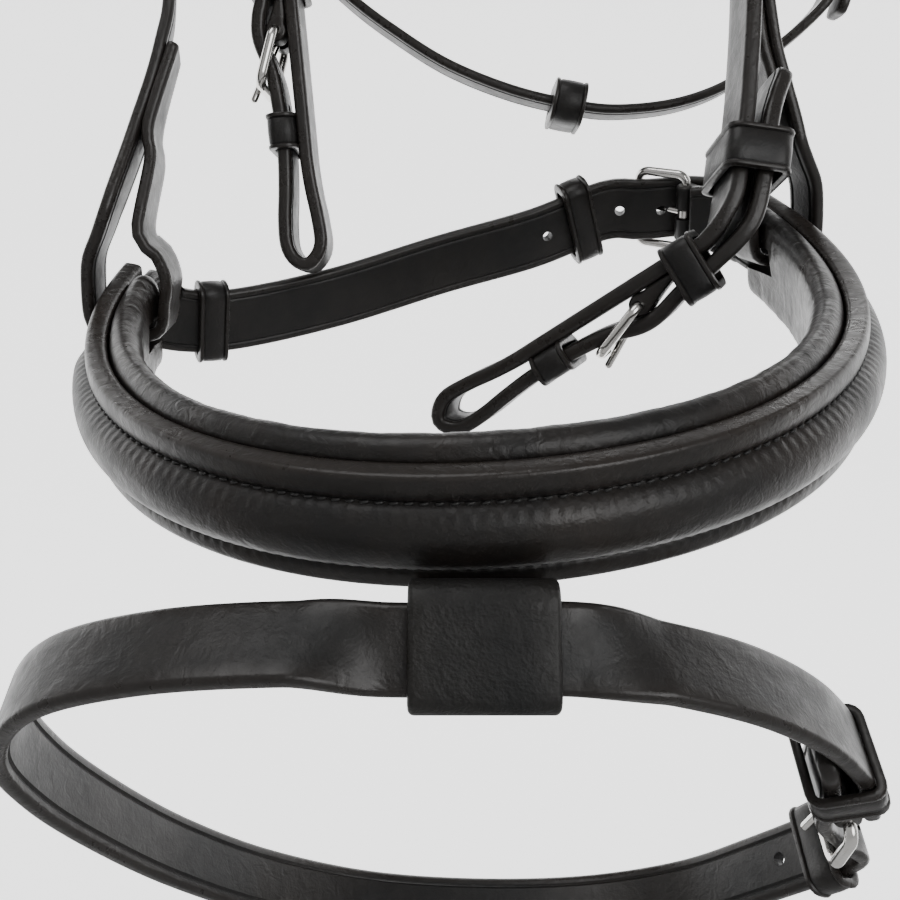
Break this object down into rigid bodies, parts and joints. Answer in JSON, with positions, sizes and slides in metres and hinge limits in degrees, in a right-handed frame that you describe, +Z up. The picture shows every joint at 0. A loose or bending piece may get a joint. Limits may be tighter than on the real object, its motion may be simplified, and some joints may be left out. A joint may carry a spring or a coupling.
{
  "type": "horse bridle",
  "caption": "Leather horse bridle with padded raised noseband, flash strap, browband, throatlash and cheekpieces with empty bit loops.",
  "frame": {"origin": "poll seat: the underside of the headpiece at its middle, where it rests on the horse's poll", "axes": "+Z up, -Y towards the horse's nose, +X to the side with the buckles of the noseband, hanger and throatlash"},
  "size_m": [0.2435, 0.1863, 0.6198],
  "materials": {
    "leather": "satin black, waxed",
    "lining": "soft black, semi-gloss",
    "steel": "polished stainless steel"
  },
  "bodies": {
    "headgear": {"headpiece": "leather", "sliphead": "leather", "noseband_hanger": "leather", "hanger_buckle": "steel", "hanger_chape": "leather"},
    "browband": {"browband": "leather", "browband_loop_left": "leather", "browband_loop_right": "leather"},
    "throatlash": {"throatlash": "leather", "throatlash_tail": "leather", "throat_buckle": "steel", "throat_chape": "leather"},
    "noseband": {"noseband_front": "leather", "noseband_lining": "lining", "noseband_raise": "leather", "noseband_tail": "leather", "chin_strap": "leather", "chin_chape": "leather", "chin_buckle": "steel", "chin_left_keeper": "leather"},
    "flash": {"flash_tab": "leather", "flash_strap": "leather", "flash_buckle": "steel", "flash_chape": "leather", "flash_rear_keeper": "leather"},
    "cheek_left": {"crown_billet_left": "leather", "cheek_strap_left": "leather", "cheek_low_left_buckle": "steel", "cheek_low_left_chape": "leather", "cheek_fixed_keeper_left": "leather", "cheek_tip_keeper_left": "leather", "cheek_top_left_buckle": "steel", "cheek_top_left_chape": "leather"},
    "cheek_right": {"crown_billet_right": "leather", "cheek_strap_right": "leather", "cheek_low_right_buckle": "steel", "cheek_low_right_chape": "leather", "cheek_fixed_keeper_right": "leather", "cheek_tip_keeper_right": "leather", "cheek_top_right_buckle": "steel", "cheek_top_right_chape": "leather"},
    "hanger_tongue": {"hanger_tongue": "steel"},
    "hanger_keeper": {"hanger_keeper": "leather"},
    "throat_tongue": {"throat_tongue": "steel"},
    "throat_keeper": {"throat_keeper": "leather"},
    "flash_tongue": {"flash_tongue": "steel"},
    "flash_keeper": {"flash_keeper": "leather"},
    "chin_tongue": {"chin_tongue": "steel"},
    "cheek_low_left_tongue": {"cheek_low_left_tongue": "steel"},
    "cheek_low_left_keeper": {"cheek_low_left_keeper": "leather"},
    "cheek_top_left_tongue": {"cheek_top_left_tongue": "steel"},
    "cheek_top_left_keeper": {"cheek_top_left_keeper": "leather"},
    "cheek_low_right_tongue": {"cheek_low_right_tongue": "steel"},
    "cheek_low_right_keeper": {"cheek_low_right_keeper": "leather"},
    "cheek_top_right_tongue": {"cheek_top_right_tongue": "steel"},
    "cheek_top_right_keeper": {"cheek_top_right_keeper": "leather"},
    "chin_right_keeper": {"chin_right_keeper": "leather"},
    "throat_slider": {"throat_slider": "leather"}
  },
  "joints": [
    {"name": "browband_slide", "type": "slide", "parent": "headgear", "child": "browband", "axis": [0, 0, 1], "range_m": [-0.008, 0.003]},
    {"name": "throatlash_swing", "type": "hinge", "parent": "headgear", "child": "throatlash", "pos_m": [0, 0.009, -0.088], "axis": [1, 0, 0], "range_deg": [-2, 10]},
    {"name": "cheek_left_swing", "type": "hinge", "parent": "headgear", "child": "cheek_left", "pos_m": [-0.061, -0.009, -0.088], "axis": [1, 0, 0], "range_deg": [-5, 0]},
    {"name": "cheek_right_swing", "type": "hinge", "parent": "headgear", "child": "cheek_right", "pos_m": [0.061, -0.009, -0.088], "axis": [1, 0, 0], "range_deg": [-4, 3]},
    {"name": "noseband_tilt", "type": "hinge", "parent": "headgear", "child": "noseband", "pos_m": [-0.0953, 0.00598, -0.44269], "axis": [0.988, 0.1015, 0.1167], "range_deg": [-8, 2]},
    {"name": "flash_swing", "type": "hinge", "parent": "noseband", "child": "flash", "pos_m": [0.0005, -0.08327, -0.4917], "axis": [1, 0, 0], "range_deg": [-6, 10]},
    {"name": "hanger_tongue_pivot", "type": "hinge", "parent": "headgear", "child": "hanger_tongue", "pos_m": [0.0822, 0.00949, -0.26191], "axis": [0, 0.9988, 0.0499], "range_deg": [0, 4]},
    {"name": "hanger_keeper_slide", "type": "slide", "parent": "headgear", "child": "hanger_keeper", "axis": [0.02, 0.0499, -0.9986], "range_m": [0, 0.004]},
    {"name": "throat_tongue_pivot", "type": "hinge", "parent": "throatlash", "child": "throat_tongue", "pos_m": [0.12393, 0.046, -0.31224], "axis": [0.0162, 0.9982, 0.0578], "range_deg": [0, 4]},
    {"name": "throat_keeper_slide", "type": "slide", "parent": "throatlash", "child": "throat_keeper", "axis": [-0.2703, 0.0601, -0.9609], "range_m": [0, 0.004]},
    {"name": "flash_tongue_pivot", "type": "hinge", "parent": "flash", "child": "flash_tongue", "pos_m": [0.07951, -0.06355, -0.54209], "axis": [0, 0.788, 0.6157], "range_deg": [0, 4]},
    {"name": "flash_keeper_slide", "type": "slide", "parent": "flash", "child": "flash_keeper", "axis": [-0.3987, -0.5646, 0.7227], "range_m": [0, 0.004]},
    {"name": "chin_tongue_pivot", "type": "hinge", "parent": "noseband", "child": "chin_tongue", "pos_m": [0.07015, 0.04967, -0.40569], "axis": [0.0924, 0.4626, -0.8818], "range_deg": [0, 4]},
    {"name": "cheek_low_left_tongue_pivot", "type": "hinge", "parent": "cheek_left", "child": "cheek_low_left_tongue", "pos_m": [-0.05492, 0.03, -0.35823], "axis": [0, 1, 0], "range_deg": [0, 4]},
    {"name": "cheek_low_left_keeper_slide", "type": "slide", "parent": "cheek_left", "child": "cheek_low_left_keeper", "axis": [-0.08, 0, 0.9968], "range_m": [0, 0.004]},
    {"name": "cheek_top_left_tongue_pivot", "type": "hinge", "parent": "cheek_left", "child": "cheek_top_left_tongue", "pos_m": [-0.0606, -0.00799, -0.2001], "axis": [0, -0.9929, -0.1191], "range_deg": [0, 4]},
    {"name": "cheek_top_left_keeper_slide", "type": "slide", "parent": "cheek_left", "child": "cheek_top_left_keeper", "axis": [0.0199, 0.1191, -0.9927], "range_m": [0, 0.004]},
    {"name": "cheek_low_right_tongue_pivot", "type": "hinge", "parent": "cheek_right", "child": "cheek_low_right_tongue", "pos_m": [0.0459, -0.00678, -0.43556], "axis": [-0.354, -0.9277, -0.1188], "range_deg": [0, 4]},
    {"name": "cheek_low_right_keeper_slide", "type": "slide", "parent": "cheek_right", "child": "cheek_low_right_keeper", "axis": [0.7738, -0.3619, 0.5199], "range_m": [0, 0.0015]},
    {"name": "cheek_top_right_tongue_pivot", "type": "hinge", "parent": "cheek_right", "child": "cheek_top_right_tongue", "pos_m": [0.0616, -0.009, -0.1998], "axis": [0, 0.9998, 0.02], "range_deg": [0, 4]},
    {"name": "cheek_top_right_keeper_slide", "type": "slide", "parent": "cheek_right", "child": "cheek_top_right_keeper", "axis": [0.04, 0.02, -0.999], "range_m": [0, 0.004]},
    {"name": "chin_keeper_slide", "type": "slide", "parent": "noseband", "child": "chin_right_keeper", "axis": [0.9199, 0.0866, 0.3825], "range_m": [-0.003, 0.003]},
    {"name": "throat_slider_slide", "type": "slide", "parent": "throatlash", "child": "throat_slider", "axis": [-0.9834, -0.0033, 0.1814], "range_m": [-0.003, 0.003]}
  ]
}
